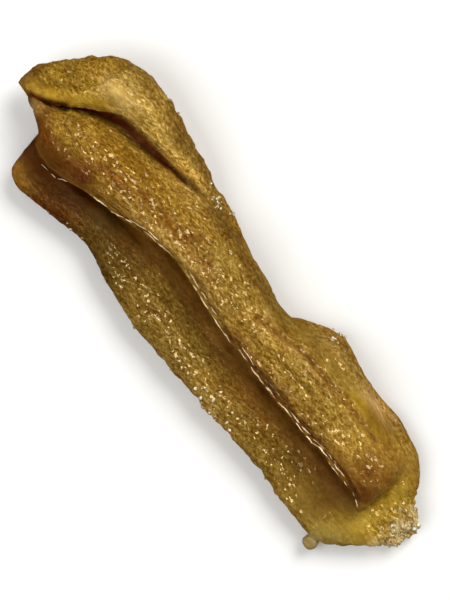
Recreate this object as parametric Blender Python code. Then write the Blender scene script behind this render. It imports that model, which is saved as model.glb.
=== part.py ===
"""A dried banana slice: one lengthwise slice of a banana, shrunk and folded as it dried.

+X runs along the slice, +Y across it towards the thick side, +Z up. The slice lies on z = 0 with its
origin under the middle of its bounding box. Sizes are written in millimetres and scaled once, at the end.

It is one solid made of three forms that grow into each other:
  bed    the low, flattened layer that the slice lies on, whose open side is the shelf
  ridge  the thick lobe folded over the bed, with a thin overhanging fibre edge above the shelf
  flap   the leaf-shaped outer layer that peels away from the ridge at the slice's blunt end
"""

import math

import bmesh
import bpy
from mathutils import Vector, noise

MM = 0.001

# Driving dimensions, in millimetres. Ends are x positions, tips are (y, z) places.
BED_ENDS = (-46.6, 50.4)
BED_END_LENGTHS = (3.5, 4.0)
BED_TIPS = ((1.0, 3.6), (1.6, 2.9))
BED_FULL_WIDTH = 18.0
RIDGE_ENDS = (-49.2, 41.4)
RIDGE_END_LENGTHS = (2.2, 2.2)
RIDGE_TIPS = ((4.2, 8.0), (1.8, 3.9))
RIDGE_FULL_WIDTH = 11.0
RIDGE_SINK = 0.9
UNDERCUT = 1.8
FLAP_THICKNESS = 2.6
FLAP_EDGE_SHARE = 0.3
END_ROUNDNESS = 2.4

# Outlines seen from above: (x, y) pairs along the slice.
SHELF_EDGE = (
    (-46.5, -4.8),
    (-44, -7.0),
    (-40, -8.2),
    (-27, -6.2),
    (-19, -8.0),
    (-8, -9.9),
    (24, -10.6),
    (37, -12.2),
    (42, -10.3),
    (46, -6.4),
    (50, -2.4),
)
GROOVE_FOOT = ((-46, 1.0), (-40, 0.2), (-26, 2.6), (-14, 4.4), (4, 2.2), (28, 0.9), (42, 0.2), (50, 1.2))
FIBRE_EDGE = (
    (-48, 2.2),
    (-44, -1.0),
    (-39.5, -1.7),
    (-25, 1.2),
    (-15, 3.2),
    (-7, 2.6),
    (5, 0.4),
    (30, -0.9),
    (39, -2.2),
    (41.4, -3.8),
)
RIDGE_SIDE = (
    (-48, 6.2),
    (-41.5, 10.3),
    (-34, 12.0),
    (-14, 14.4),
    (-4, 13.2),
    (8, 10.8),
    (18, 14.4),
    (28, 13.0),
    (42, 9.6),
)
BED_SIDE = (
    (-46, 8.0),
    (-40, 13.6),
    (-28, 16.2),
    (-16, 16.8),
    (-4, 13.7),
    (7, 11.3),
    (14.4, 15.4),
    (17.5, 16.2),
    (24, 14.2),
    (40.5, 11.6),
    (46, 6.6),
    (50, 4.8),
)

# Heights along the slice: (x, z) pairs.
SHELF_CROWN = ((-46, 5.4), (-38, 5.9), (-20, 6.3), (8, 6.4), (24, 5.6), (38, 4.9), (50, 4.8))
GROOVE_FLOOR = ((-46, 4.6), (-42, 4.9), (-34, 4.3), (-20, 3.9), (30, 3.9), (41, 4.4), (50, 4.4))
SIDE_LIP = ((-46, 4.0), (-10, 4.4), (10, 4.8), (16, 6.0), (30, 5.2), (42, 5.2), (50, 4.9))
FIBRE_HEIGHT = ((-48, 6.8), (-43, 6.6), (-37, 7.8), (-29, 9.6), (-8, 10.3), (14, 9.9), (30, 9.0), (41, 7.4))
RIDGE_CREST = ((-48, 11.0), (-40, 12.4), (-26, 12.9), (-10, 13.2), (6, 12.7), (20, 12.0), (41, 9.8))
RIDGE_SHOULDER = ((-48, 8.8), (-30, 10.0), (-10, 10.0), (6, 9.6), (16, 8.6), (28, 7.8), (41, 5.8))
END_LIFT = ((-50, 1.5), (-36, 0.2), (-24, 0), (24, 0), (38, 0.2), (50, 1.2))

# The flap's four lines from its free tip to where it runs into the ridge: (x, y, z) points.
FLAP_INNER = (
    (-54.4, 4.2, 5.3),
    (-49.8, 4.0, 7.6),
    (-47.2, 6.8, 9.0),
    (-42.8, 10.4, 10.2),
    (-37.2, 13.9, 10.8),
    (-27.0, 14.9, 10.0),
    (-13.0, 13.8, 6.8),
)
FLAP_CREST = (
    (-54.7, 4.8, 5.6),
    (-51.5, 6.8, 8.0),
    (-47.8, 11.0, 9.6),
    (-43.2, 14.8, 12.0),
    (-37.2, 17.4, 12.4),
    (-27.0, 17.0, 10.8),
    (-13.0, 14.2, 6.2),
)
FLAP_OUTER = (
    (-54.5, 6.0, 5.5),
    (-52.2, 9.0, 7.4),
    (-49.0, 13.9, 8.2),
    (-43.8, 19.2, 8.6),
    (-37.0, 20.6, 8.4),
    (-27.0, 18.4, 7.2),
    (-13.0, 14.3, 4.8),
)
FLAP_ROOT = (
    (-53.9, 7.2, 5.2),
    (-51.6, 10.4, 6.4),
    (-48.2, 15.2, 6.0),
    (-43.4, 17.8, 3.8),
    (-36.6, 17.0, 2.8),
    (-27.0, 15.8, 2.6),
    (-13.0, 13.6, 3.4),
)

# How finely the forms are divided. The flap thins over its last few rows and columns.
STATIONS = 53
STATION_CROWDING = 0.62
POINTS_PER_SPAN = 4
FLAP_ROWS = 26
FLAP_COLUMNS = 12
THIN_FIRST_ROWS = 4
THIN_LAST_ROWS = 3
THIN_COLUMNS = 2

# Shrinkage relief: wave lengths and depths in millimetres, and the noise field's place for each.
WRINKLE_LENGTH = 13.0
WRINKLE_WIDTH = 3.6
WRINKLE_DEPTH = 0.42
DENT_SIZE = 6.5
DENT_DEPTH = 0.38
DENT_FIELD = Vector((17, 5, 9))
RAGGED_SIZE = 2.4
RAGGED_DEPTH = 0.4
RAGGED_FIELD = Vector((3, 31, 7))
RAGGED_START = 36.0
RAGGED_BLEND = 10.0

FLESH_COLOUR = (0.30, 0.155, 0.028, 1.0)
FLESH_ROUGHNESS = 0.42
SHARP_ANGLE = math.radians(50)


def hermite(before, start, end, after, share):
    """A point between start and end on the smooth curve that also heads for before and after."""
    square = share * share
    cube = square * share
    leaving = (end - before) * 0.5
    arriving = (after - start) * 0.5
    return (
        start * (2 * cube - 3 * square + 1)
        + leaving * (cube - 2 * square + share)
        + end * (3 * square - 2 * cube)
        + arriving * (cube - square)
    )


def along(stations, x):
    """The value at x of the smooth curve through (position, value) pairs, level beyond its ends."""
    if x <= stations[0][0]:
        return stations[0][1]
    if x >= stations[-1][0]:
        return stations[-1][1]
    last = len(stations) - 1
    i = max(k for k in range(last) if stations[k][0] <= x)
    (x0, v0), (x1, v1) = stations[i], stations[i + 1]
    width = x1 - x0
    xa, va = stations[i - 1] if i > 0 else (x0 - width, v0)
    xb, vb = stations[i + 2] if i + 2 <= last else (x1 + width, v1)
    before = v1 - (v1 - va) / (x1 - xa) * width * 2
    after = v0 + (vb - v0) / (xb - x0) * width * 2
    return hermite(before, v0, v1, after, (x - x0) / width)


def closed_spline(controls, per_span):
    """Points on the smooth closed curve through the controls, per_span of them from each to the next."""
    count = len(controls)
    points = []
    for i in range(count):
        quad = [controls[(i + k) % count] for k in (-1, 0, 1, 2)]
        points += [hermite(*quad, j / per_span) for j in range(per_span)]
    return points


def open_spline(controls, share):
    """The point at share, 0 to 1, of the smooth curve through the controls."""
    spans = len(controls) - 1
    place = share * spans
    i = min(int(place), spans - 1)
    before = controls[i - 1] if i > 0 else controls[0] * 2 - controls[1]
    after = controls[i + 2] if i + 2 <= spans else controls[-1] * 2 - controls[-2]
    return hermite(before, controls[i], controls[i + 1], after, place - i)


def crowded(count, crowding):
    """Shares from 0 to 1 that lie closer together towards both ends."""
    evenly = [i / (count - 1) for i in range(count)]
    return [t - crowding * math.sin(2 * math.pi * t) / (2 * math.pi) for t in evenly]


def end_scale(x, ends, lengths):
    """How far a section has grown from a rounded end's tip: 0 at the tip, 1 past the end's length."""
    near = min((x - ends[0]) / lengths[0], (ends[1] - x) / lengths[1], 1.0)
    return (1 - (1 - max(near, 0.0)) ** END_ROUNDNESS) ** (1 / END_ROUNDNESS)


def wrinkles(point):
    """How far the shrunken surface stands out at a point: long furrows, dents and ragged low end."""
    furrow = noise.noise(Vector((point.x / WRINKLE_LENGTH, point.y / WRINKLE_WIDTH, point.z / WRINKLE_WIDTH)))
    dent = noise.noise(point / DENT_SIZE + DENT_FIELD)
    ragged = noise.noise(point / RAGGED_SIZE + RAGGED_FIELD)
    toward_low_end = min(max((point.x - RAGGED_START) / RAGGED_BLEND, 0.0), 1.0)
    return WRINKLE_DEPTH * furrow + DENT_DEPTH * dent + RAGGED_DEPTH * ragged * toward_low_end


def with_relief(points, share):
    """A ring of points moved out or in along the ring's own normals by that share of the wrinkles there."""
    moved = []
    for i, point in enumerate(points):
        edge = points[(i + 1) % len(points)] - points[i - 1]
        normal = Vector((0, edge.z, -edge.y)).normalized()
        moved.append(point + normal * wrinkles(point) * share)
    return moved


def bed_controls(x):
    """The bed's section at x as (y, z) controls: the shelf, the groove, the far lip and the underside."""
    left, right = along(SHELF_EDGE, x), along(BED_SIDE, x)
    foot = along(GROOVE_FOOT, x)
    lift, floor = along(END_LIFT, x), along(GROOVE_FLOOR, x)
    crown, lip = along(SHELF_CROWN, x), along(SIDE_LIP, x)
    shelf = foot - left
    reach = min((right - left) / BED_FULL_WIDTH, 1.0)
    return [
        (left, lift + (crown - lift) * 0.52),
        (left + 0.6 * reach, lift + (crown - lift) * 0.88),
        (left + shelf * 0.32, crown),
        (left + shelf * 0.64, crown * 0.6 + floor * 0.4),
        (foot, floor),
        ((foot + right) / 2, floor + 1.0),
        (right - 2.6 * reach, lip),
        (right - 0.6 * reach, lift + (lip - lift) * 0.8),
        (right, lift + (lip - lift) * 0.5),
        (right - 1.4 * reach, lift + (lip - lift) * 0.18),
        (right - 4.6 * reach, lift),
        ((left + right) / 2, lift - 0.3),
        (left + 4.4 * reach, lift),
        (left + 1.3 * reach, lift + (crown - lift) * 0.16),
    ]


def ridge_controls(x):
    """The ridge's section at x as (y, z) controls: fibre edge, crest, shoulder, and back underneath."""
    edge, side = along(FIBRE_EDGE, x), along(RIDGE_SIDE, x)
    low, floor = along(FIBRE_HEIGHT, x), along(GROOVE_FLOOR, x)
    crest, shoulder = along(RIDGE_CREST, x), along(RIDGE_SHOULDER, x)
    width = side - edge
    reach = min(width / RIDGE_FULL_WIDTH, 1.0)
    undercut = edge + UNDERCUT * reach
    return [
        (edge, low),
        (edge + 0.5 * reach, low + (crest - low) * 0.46),
        (edge + width * 0.18, low + (crest - low) * 0.84),
        (edge + width * 0.46, crest),
        (edge + width * 0.74, (crest + shoulder) / 2 + 0.8),
        (side - 0.8 * reach, shoulder),
        (side, shoulder * 0.66),
        (side - 1.2 * reach, floor - RIDGE_SINK * 0.7),
        (edge + width * 0.5, floor - RIDGE_SINK),
        (undercut + 1.2 * reach, floor - RIDGE_SINK),
        (undercut, (floor + low) / 2),
    ]


def lofted(name, controls_at, ends, end_lengths, tips):
    """A closed mesh object whose sections along x follow controls_at, drawn in to rounded ends."""
    mesh = bmesh.new()
    rings = []
    for share in crowded(STATIONS, STATION_CROWDING)[1:-1]:
        x = ends[0] + (ends[1] - ends[0]) * share
        tip = Vector((x, *tips[0 if share < 0.5 else 1]))
        grown = end_scale(x, ends, end_lengths)
        controls = [Vector((x, y, z)) for y, z in controls_at(x)]
        ring = [tip + (p - tip) * grown for p in closed_spline(controls, POINTS_PER_SPAN)]
        rings.append([mesh.verts.new(p) for p in with_relief(ring, grown**2)])
    for ring, following in zip(rings, rings[1:]):
        for i in range(len(ring)):
            mesh.faces.new((ring[i - 1], ring[i], following[i], following[i - 1]))
    for ring, end, tip in ((rings[0], ends[0], tips[0]), (rings[-1], ends[1], tips[1])):
        point = mesh.verts.new((end, *tip))
        for i in range(len(ring)):
            mesh.faces.new((ring[i - 1], ring[i], point))
    return finished(name, mesh)


def flap_sheet():
    """Rows of points on the flap's curved middle surface, which runs through its four lines."""
    lines = [[Vector(p) for p in line] for line in (FLAP_INNER, FLAP_CREST, FLAP_OUTER, FLAP_ROOT)]
    rows = []
    for i in range(FLAP_ROWS):
        across = [open_spline(line, i / (FLAP_ROWS - 1)) for line in lines]
        rows.append([open_spline(across, j / (FLAP_COLUMNS - 1)) for j in range(FLAP_COLUMNS)])
    return rows


def half_thickness(i, j):
    """Half the flap's thickness at a row and column of its sheet, thinner near all four edges."""
    along_it = min(i / THIN_FIRST_ROWS, (FLAP_ROWS - 1 - i) / THIN_LAST_ROWS)
    across_it = min(j, FLAP_COLUMNS - 1 - j) / THIN_COLUMNS
    inside = math.sqrt(min(along_it, across_it, 1.0))
    return FLAP_THICKNESS / 2 * (FLAP_EDGE_SHARE + (1 - FLAP_EDGE_SHARE) * inside)


def flap():
    """The leaf-shaped flap: its curved sheet given two faces and a border."""
    rows = flap_sheet()
    mesh = bmesh.new()
    upper, lower = [], []
    for i, row in enumerate(rows):
        for j, point in enumerate(row):
            ahead = rows[min(i + 1, FLAP_ROWS - 1)][j] - rows[max(i - 1, 0)][j]
            aside = row[min(j + 1, FLAP_COLUMNS - 1)] - row[max(j - 1, 0)]
            normal = aside.cross(ahead).normalized()
            middle = point + normal * wrinkles(point)
            upper.append(mesh.verts.new(middle + normal * half_thickness(i, j)))
            lower.append(mesh.verts.new(middle - normal * half_thickness(i, j)))
    for face in (upper, lower):
        for i in range(FLAP_ROWS - 1):
            for j in range(FLAP_COLUMNS - 1):
                a, b = i * FLAP_COLUMNS + j, (i + 1) * FLAP_COLUMNS + j
                mesh.faces.new((face[a], face[b], face[b + 1], face[a + 1]))
    last_row, last_column = FLAP_ROWS - 1, FLAP_COLUMNS - 1
    border = [(0, j) for j in range(last_column)]
    border += [(i, last_column) for i in range(last_row)]
    border += [(last_row, j) for j in range(last_column, 0, -1)]
    border += [(i, 0) for i in range(last_row, 0, -1)]
    places = [i * FLAP_COLUMNS + j for i, j in border]
    for a, b in zip(places, places[1:] + places[:1]):
        mesh.faces.new((upper[a], upper[b], lower[b], lower[a]))
    return finished("flap", mesh)


def finished(name, mesh):
    """An object of that name that holds the mesh, scaled to metres, with its faces pointing out."""
    bmesh.ops.recalc_face_normals(mesh, faces=mesh.faces)
    bmesh.ops.scale(mesh, vec=(MM, MM, MM), verts=mesh.verts)
    data = bpy.data.meshes.new(name)
    mesh.to_mesh(data)
    mesh.free()
    item = bpy.data.objects.new(name, data)
    bpy.context.scene.collection.objects.link(item)
    return item


def flesh():
    """The dried flesh's material."""
    material = bpy.data.materials.new("dried_banana")
    material.use_nodes = True
    shader = material.node_tree.nodes["Principled BSDF"]
    shader.inputs["Base Color"].default_value = FLESH_COLOUR
    shader.inputs["Roughness"].default_value = FLESH_ROUGHNESS
    shader.inputs["Metallic"].default_value = 0.0
    return material


def joined(base, others):
    """Base with the others fused on by one Boolean union, applied, and the others removed."""
    fused = bpy.data.collections.new("fused")
    for other in others:
        fused.objects.link(other)
    union = base.modifiers.new("fuse", "BOOLEAN")
    union.operation = "UNION"
    union.solver = "EXACT"
    union.operand_type = "COLLECTION"
    union.collection = fused
    graph = bpy.context.evaluated_depsgraph_get()
    base.data = bpy.data.meshes.new_from_object(base.evaluated_get(graph))
    base.modifiers.clear()
    for other in others:
        bpy.data.objects.remove(other)
    bpy.data.collections.remove(fused)
    return base


def settled(item):
    """The slice pressed flat where it lies, at z = 0, with the origin under the middle of its box."""
    corners = [vertex.co for vertex in item.data.vertices]
    middle_x = (min(c.x for c in corners) + max(c.x for c in corners)) / 2
    middle_y = (min(c.y for c in corners) + max(c.y for c in corners)) / 2
    for vertex in item.data.vertices:
        vertex.co.x -= middle_x
        vertex.co.y -= middle_y
        vertex.co.z = max(vertex.co.z, 0.0)
    return item


def main():
    for old in list(bpy.data.objects):
        bpy.data.objects.remove(old)
    bed = lofted("banana_slice", bed_controls, BED_ENDS, BED_END_LENGTHS, BED_TIPS)
    ridge = lofted("ridge", ridge_controls, RIDGE_ENDS, RIDGE_END_LENGTHS, RIDGE_TIPS)
    item = settled(joined(bed, [ridge, flap()]))
    item.data.materials.clear()
    item.data.materials.append(flesh())
    item.data.shade_smooth()
    item.data.set_sharp_from_angle(angle=SHARP_ANGLE)


main()
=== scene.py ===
import math

import bmesh
import bpy
import numpy as np
from mathutils import Matrix, Quaternion, Vector, noise
from mathutils.bvhtree import BVHTree


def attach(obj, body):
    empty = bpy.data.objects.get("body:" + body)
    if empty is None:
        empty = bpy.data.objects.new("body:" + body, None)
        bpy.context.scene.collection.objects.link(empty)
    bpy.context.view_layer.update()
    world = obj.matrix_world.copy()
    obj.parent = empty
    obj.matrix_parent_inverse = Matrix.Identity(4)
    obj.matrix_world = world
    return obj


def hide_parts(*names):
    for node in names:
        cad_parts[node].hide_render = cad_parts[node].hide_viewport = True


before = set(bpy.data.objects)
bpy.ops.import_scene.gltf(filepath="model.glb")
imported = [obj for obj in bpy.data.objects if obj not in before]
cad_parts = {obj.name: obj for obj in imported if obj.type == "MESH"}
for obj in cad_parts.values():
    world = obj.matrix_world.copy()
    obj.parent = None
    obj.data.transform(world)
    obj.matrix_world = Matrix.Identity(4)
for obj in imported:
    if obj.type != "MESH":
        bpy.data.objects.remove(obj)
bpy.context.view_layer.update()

# The slice is worked out in millimetres in the row frame: +x along it to its ragged end, +y to its thick
# side and +z up.
MM = 0.001

# The even skin of small faces, and how it is relaxed before relief is added: each round moves the points a
# share of the way to their neighbours' mean and then slightly further back, so the shape hardly shrinks.
SKIN_CELL = 0.32
RELAX_ROUNDS = 14
RELAX_SHARE = 0.55
RELAX_BACK = -RELAX_SHARE * 1.04

# How many rounds, each halfway to the neighbours' mean, even out the worn end, the directions into the flesh
# and the thickness found there.
HALFWAY = 0.5
WORN_ROUNDS = 40
INWARD_ROUNDS = 6
THICKNESS_ROUNDS = 8

# How far behind the surface the search for flesh begins and ends.
INWARD_START = 0.05
INWARD_REACH = 8.0

# Lines seen from above, as (x, y) points along the slice: the ridge's lip, where the shelf begins, the gap
# beside the flap, the ridge's middle, the gap's two ends, the flap's crease, and on the ridge two wrinkles, a
# reddish streak and the far edge.
FIBRE_LINE = (
    (-46.6, -0.9), (-45.3, -3.0), (-43.2, -5.2), (-40.7, -6.0), (-37.5, -6.6), (-33.4, -5.7), (-28.6, -4.6),
    (-22.6, -3.8), (-13.9, -2.0), (-6.1, -2.1), (5.8, -4.5), (17.4, -5.1), (28.9, -5.8), (35.5, -6.0),
    (41.3, -6.9), (43.0, -8.4),
)
GAP_LINE = ((-52.6, -0.9), (-46.9, 0.2), (-43.1, 2.7), (-39.4, 5.6), (-34.7, 7.4), (-22.1, 8.6), (-12.0, 9.4))
RIDGE_MIDDLE = ((-50, 0.8), (-38, 1.0), (-26, 2.6), (-12, 3.8), (4, 2.4), (20, 2.6), (44, -0.6))
GAP_HEAD = ((-48.8, -0.6), (-46.9, 0.25), (-45.0, 1.3), (-43.1, 2.6))
GAP_TAIL = ((-26.0, 8.5), (-22.1, 8.8), (-17.5, 9.2), (-12.4, 9.5))
FLAP_CREASE = ((-48.2, 1.6), (-43.4, 6.3), (-41.8, 9.7), (-41.7, 12.4), (-41.2, 15.2))
SIDE_WRINKLE = ((5.6, 2.2), (12.0, 3.2), (16.8, 3.8), (20.0, 3.6), (27.0, 3.2), (35.3, 2.7))
PALE_WRINKLE = ((6.0, 3.9), (8.2, 3.4), (13.3, 2.5), (20.2, 2.7), (24.0, 2.2))
RED_STREAK = ((-33.0, -0.4), (-25.4, 1.0), (-15.5, 2.2), (-10.0, 2.4), (-4.0, 1.6))
FAR_EDGE = ((-22.8, 9.0), (-12.9, 8.9), (-4.0, 7.6), (1.2, 6.5), (8.3, 5.6))

# Round places seen from above, each as its centre and its radii. On the shelf:
SHELF_DIP = ((-37.5, -9.4), (4.5, 1.7))
SHELF_PALE = ((8.0, -12.8), (6.0, 1.6))
SHELF_TAN = ((12.5, -15.0), (5.0, 1.1))
SHELF_TROUGH = ((38.0, -11.4), (5.5, 2.6))
TROUGH_SMOOTH = ((36.4, -12.6), (5.6, 3.6))
GROOVE_PAINTED_LIGHT = ((17.0, -8.6), (6.0, 2.0))
# On the ridge:
BLUNT_TIP = ((-46.6, -0.6), (1.6, 2.2))
FLANK_DARK = ((-32.2, -3.4), (2.6, 2.0))
RIDGE_TAN = ((6.5, 1.4), (3.5, 1.2))
SIDE_BUMP = ((19.0, 8.4), (4.5, 1.6))
SIDE_GLINT = ((20.0, 8.2), (5.0, 2.2))
SIDE_CLEAR = ((29.0, 5.0), (3.0, 1.0))
SIDE_CLEAR_LOW = ((34.0, 4.2), (2.6, 1.0))
SIDE_PINK = ((31.4, 6.8), (4.6, 1.3))
SIDE_SMOOTH = ((31.0, 5.5), (5.0, 2.0))
# On the flap's crest, where a highlight is painted:
CREST_SWELL = ((-38.4, 11.0), (3.4, 2.6))
CREST_LIGHT = ((-37.6, 10.7), (3.2, 1.5))
CREST_SMOOTH = ((-37.6, 10.2), (3.6, 1.8))
# At the ridge's cut end and on the rim below it:
ABOVE_CUT = ((37.4, -1.0), (2.4, 2.4))
CUT_TOP = ((39.0, -2.0), (3.4, 3.4))
CUT_FACE = ((40.8, -4.6), (2.6, 3.6))
CUT_SMOOTH = ((41.0, -3.8), (1.7, 4.2))
CUT_SIDE = ((41.8, 0.0), (1.6, 2.0))
CUT_PAINTED_LIGHT = ((41.8, 3.4), (3.4, 2.2))
CUT_CORNER = ((42.2, -6.0), (2.0, 1.6))
RIM_LIGHT = ((44.6, -5.8), (2.0, 4.2))
RIM_CLEAR = ((50.8, -3.8), (1.8, 4.2))
RIM_NOTCH = ((50.8, 1.0), (2.4, 2.2))

# How far small parts are moved: the flap's lower band back along y and down, as axes and steps, the cut's
# corner along x and y, and the rim's notch back along x and y.
BAND_STEPS = ((1, 1.1), (2, 0.5))
CORNER_STEP = (0.2, -1.2)
NOTCH_STEP = (1.5, 0.9)

# Colours as they look in daylight, in 0 to 255 steps of red, green and blue; some are painted light or shade.
GOLD = (142, 111, 43)
GOLD_LOW = (158, 123, 48)
GOLD_UPPER = (136, 102, 32)
UPPER_BROWN = (130, 95, 22)
TAN = (172, 138, 74)
RED_BROWN = (116, 72, 20)
OLIVE = (116, 89, 29)
OLIVE_PALE = (141, 111, 48)
SHELF_PAINTED_SHADOW = (82, 57, 15)
FAR_SIDE_PAINTED_SHADE = (112, 84, 30)
CUT_BROWN = (86, 46, 12)
PALE_PINK = (192, 152, 94)
CLEAR_YELLOW = (148, 114, 18)
BEAD_GREY = (158, 138, 92)
GROOVE_BROWN_AND_SHADE = (124, 78, 24)
GROOVE_LIT = (158, 108, 36)
GROOVE_PAINTED_SHADE = (76, 34, 5)
TROUGH = (100, 68, 14)
LIP_PAINTED_SHADE = (112, 72, 24)
FLANK_BROWN_AND_SHADE = (88, 44, 12)
CREVICE_PAINTED_SHADE = (66, 34, 6)
GAP_PAINTED_SHADE = (92, 28, 2)
END_BROWN_AND_SHADE = (100, 58, 12)
SHADE_RED = (85, 43, 7)
LOBE_GOLD = (140, 98, 30)
CREAM = (164, 133, 62)
CREST_PAINTED_HIGHLIGHT = (224, 192, 118)
LEAF = (134, 102, 30)
LEAF_EDGE = (112, 76, 24)
BAND_YELLOW = (162, 128, 42)
BAND_SHADE = (112, 82, 18)
BAND_LIT = (212, 172, 84)
RIM_GREEN = (154, 124, 40)
RIM_OLIVE = (136, 114, 54)
RIM_LIT = (168, 138, 46)
RIM_PALE = (204, 182, 128)
RIM_BROWN = (140, 108, 48)
RIM_GREY = (176, 164, 134)
BAND_GREEN = (132, 104, 34)
EDGE_BROWN = (118, 88, 30)
UNDERSIDE = (132, 98, 32)
CRYSTAL = (240, 232, 208)
FIBRE_PINK = (252, 218, 178)

# Thin flesh is painted lighter and yellower, as a painted glow of light through it: from the first thickness
# on and fully at the second, by this much and in this colour. The whole tint wanders a little too.
THIN_FLESH = (3.2, 0.9)
THIN_GLOW = 0.20
THIN_COLOUR = (1.0, 1.05, 0.7)
TINT_WANDER = 0.22

# Small lumps that grow into the slice, as places and radii: the bead on its edge, the web under the flap's
# end, and the flesh at the bottom of the gap between the flap and the ridge.
BEAD_PLACE = (41.3, -17.8, 2.4)
LUMPS = (
    (BEAD_PLACE, (1.4, 1.4, 1.35)),
    ((-46.6, 0.6, 5.4), (3.5, 2.7, 2.3)),
    ((-40.5, 4.9, 5.6), (2.8, 1.8, 1.8)),
    ((-37.0, 6.6, 5.8), (2.8, 1.8, 1.8)),
    ((-34.0, 7.8, 6.0), (2.8, 1.8, 1.8)),
    ((-31.0, 8.4, 6.2), (2.8, 1.8, 1.8)),
    ((-28.0, 8.9, 6.6), (2.8, 1.8, 1.8)),
    ((-25.0, 9.1, 7.1), (2.8, 1.6, 1.8)),
    ((-22.0, 9.2, 7.7), (2.8, 1.5, 1.7)),
    ((-19.0, 9.3, 8.0), (2.8, 1.4, 1.5)),
)

# The loose fibres along the ridge's lip: first and last x, how far each lies inside the lip, and how thick it
# is next to the others.
FIBRE_STRANDS = (
    (-28.8, -12.4, 0.16, 1.3), (-21.0, -14.5, 0.62, 0.9), (-8.2, 4.0, 0.16, 1.0), (-7.6, 1.0, 0.70, 0.8),
    (3.5, 16.5, 0.16, 1.0), (8.0, 13.0, 1.00, 0.8), (15.8, 29.0, 0.16, 1.0), (22.0, 37.0, 0.62, 0.8),
    (28.6, 41.6, 0.10, 0.9),
)
FIBRE_SEED = 5
FIBRE_RADIUS = 0.115
# Each strand is a row of dashes with gaps between: their lengths, the step from point to point, the tube's
# sides, and the fewest points in a dash.
FIBRE_DASHES = (1.4, 4.4)
FIBRE_GAPS = (0.1, 0.8)
FIBRE_STEP = 0.3
FIBRE_SIDES = 7
FIBRE_POINTS = 4
# How each dash is laid: how far beside its strand, how far it slants from it and is lifted, and its width.
FIBRE_BESIDE = 0.14
FIBRE_SLANT = 0.2
FIBRE_LIFT = (-0.02, 0.08)
FIBRE_WIDTHS = (0.7, 1.15)
# How far the fibres wander sideways, and the size of their bends.
FIBRE_WANDER = 0.16
FIBRE_BEND = 0.9
# Where the ridge's lip is looked for, how many rounds smooth it, and a height above all of the slice.
LIP_LOWEST = 7.0
LIP_ROUNDS = 6
ABOVE_ALL = 20.0
# Where the ridge's foot meets the bed at the blunt end, a short glistening strand.
FOOT_LINE = ((-39.2, -7.3), (-37.0, -7.4), (-35.0, -6.9), (-33.2, -6.0))
FOOT_THICKNESS = 0.8

# Crumbs on the ragged rim and edges: their seed, radii, and how many of the likely places carry one. Then, in
# shares of the radius, how far out they sit, their stretch along each axis, their dents and their growth on
# the torn rim.
CRUMB_SEED = 11
CRUMB_RADII = (0.12, 0.38)
CRUMB_SHARE = 0.11
CRUMB_RISE = (-0.4, 0.25)
CRUMB_STRETCH = (0.65, 1.35)
CRUMB_DENT = 0.10
CRUMB_GROWTH = 0.5
# Rough places whose upper side carries crumbs too, each as its centre and its radii.
ROUGH_SPOTS = (
    ((-12.6, 10.9), (1.6, 1.0)), ((6.0, -13.6), (4.5, 0.8)), ((12.0, -15.0), (4.5, 0.7)),
    ((49.0, -3.0), (1.6, 4.0)),
)

# What the flesh's tint is multiplied by, as stops on a ramp over noise: a place and red, green and blue.
AS_IT_IS = (1.0, 1.0, 1.0)
TICKS = ((0.42, (0.50, 0.40, 0.13)), (0.49, (0.79, 0.72, 0.52)), (0.56, AS_IT_IS), (0.63, (1.28, 1.36, 1.65)),
         (0.71, (1.70, 1.95, 3.0)))
DUST = ((0.34, (0.84, 0.80, 0.66)), (0.50, AS_IT_IS), (0.68, (1.16, 1.19, 1.3)))
STREAKS = ((0.36, (0.71, 0.60, 0.38)), (0.50, AS_IT_IS), (0.68, (1.16, 1.18, 1.2)))
BROWN_PATCHES = ((0.36, (0.80, 0.70, 0.44)), (0.52, AS_IT_IS), (0.7, (1.10, 1.14, 1.14)))
# Over the grains' height: browner and partly painted shade in the creases, paler and partly painted light on
# the tops.
CREASE_SHADE_AND_TOP_LIGHT = ((0.15, (0.74, 0.66, 0.52)), (0.5, AS_IT_IS), (0.85, (1.14, 1.17, 1.25)))
FIBRE_SHADES = ((0.36, (0.62, 0.50, 0.36)), (0.46, AS_IT_IS), (0.66, (1.2, 1.2, 1.2)))
# Which of the coat's cells shine, and how far they tilt.
SHINY_CELLS = ((0.44, (0.0, 0.0, 0.0)), (0.66, (1.0, 1.0, 1.0)))
CELL_TILT = 0.7
CRUMB_COLOURS = ((0.34, RIM_BROWN), (0.45, CREAM), (0.53, RIM_GREY), (0.62, CRYSTAL))

# Each material's even finish, by the names of the shader's sockets.
FLESH_FINISH = {
    "Coat Roughness": 0.07,
    "Coat Tint": (1.0, 0.95, 0.82, 1.0),
    "Specular IOR Level": 0.15,
    "Specular Tint": (1.0, 0.82, 0.5, 1.0),
    "Subsurface Weight": 0.3,
    "Subsurface Radius": (1.0, 0.55, 0.15),
    "Subsurface Scale": 1.0 * MM,
}
CRUMB_FINISH = {
    "Coat Weight": 1.0,
    "Coat Roughness": 0.12,
    "Subsurface Weight": 0.5,
    "Subsurface Radius": (1.0, 0.8, 0.3),
    "Subsurface Scale": 0.5 * MM,
}
FIBRE_FINISH = {
    "Specular IOR Level": 0.8,
    "Subsurface Weight": 0.3,
    "Subsurface Radius": (1.0, 0.6, 0.4),
    "Subsurface Scale": 0.4 * MM,
}

# How the photo looks at the slice: straight down, with the picture's right and up as row-frame directions.
VIEW_TURN = math.radians(47.25)
PICTURE_RIGHT = Vector((math.cos(VIEW_TURN), math.sin(VIEW_TURN), 0))
PICTURE_UP = Vector((-math.sin(VIEW_TURN), math.cos(VIEW_TURN), 0))
FRAME_HEIGHT = 106.0
LENS = 120.0
SENSOR = 36.0

# The floor, with its size in metres.
FLOOR_SIZE = 3.0
FLOOR_COLOUR = (0.86, 0.86, 0.85, 1.0)
FLOOR_ROUGHNESS = 0.8

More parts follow.
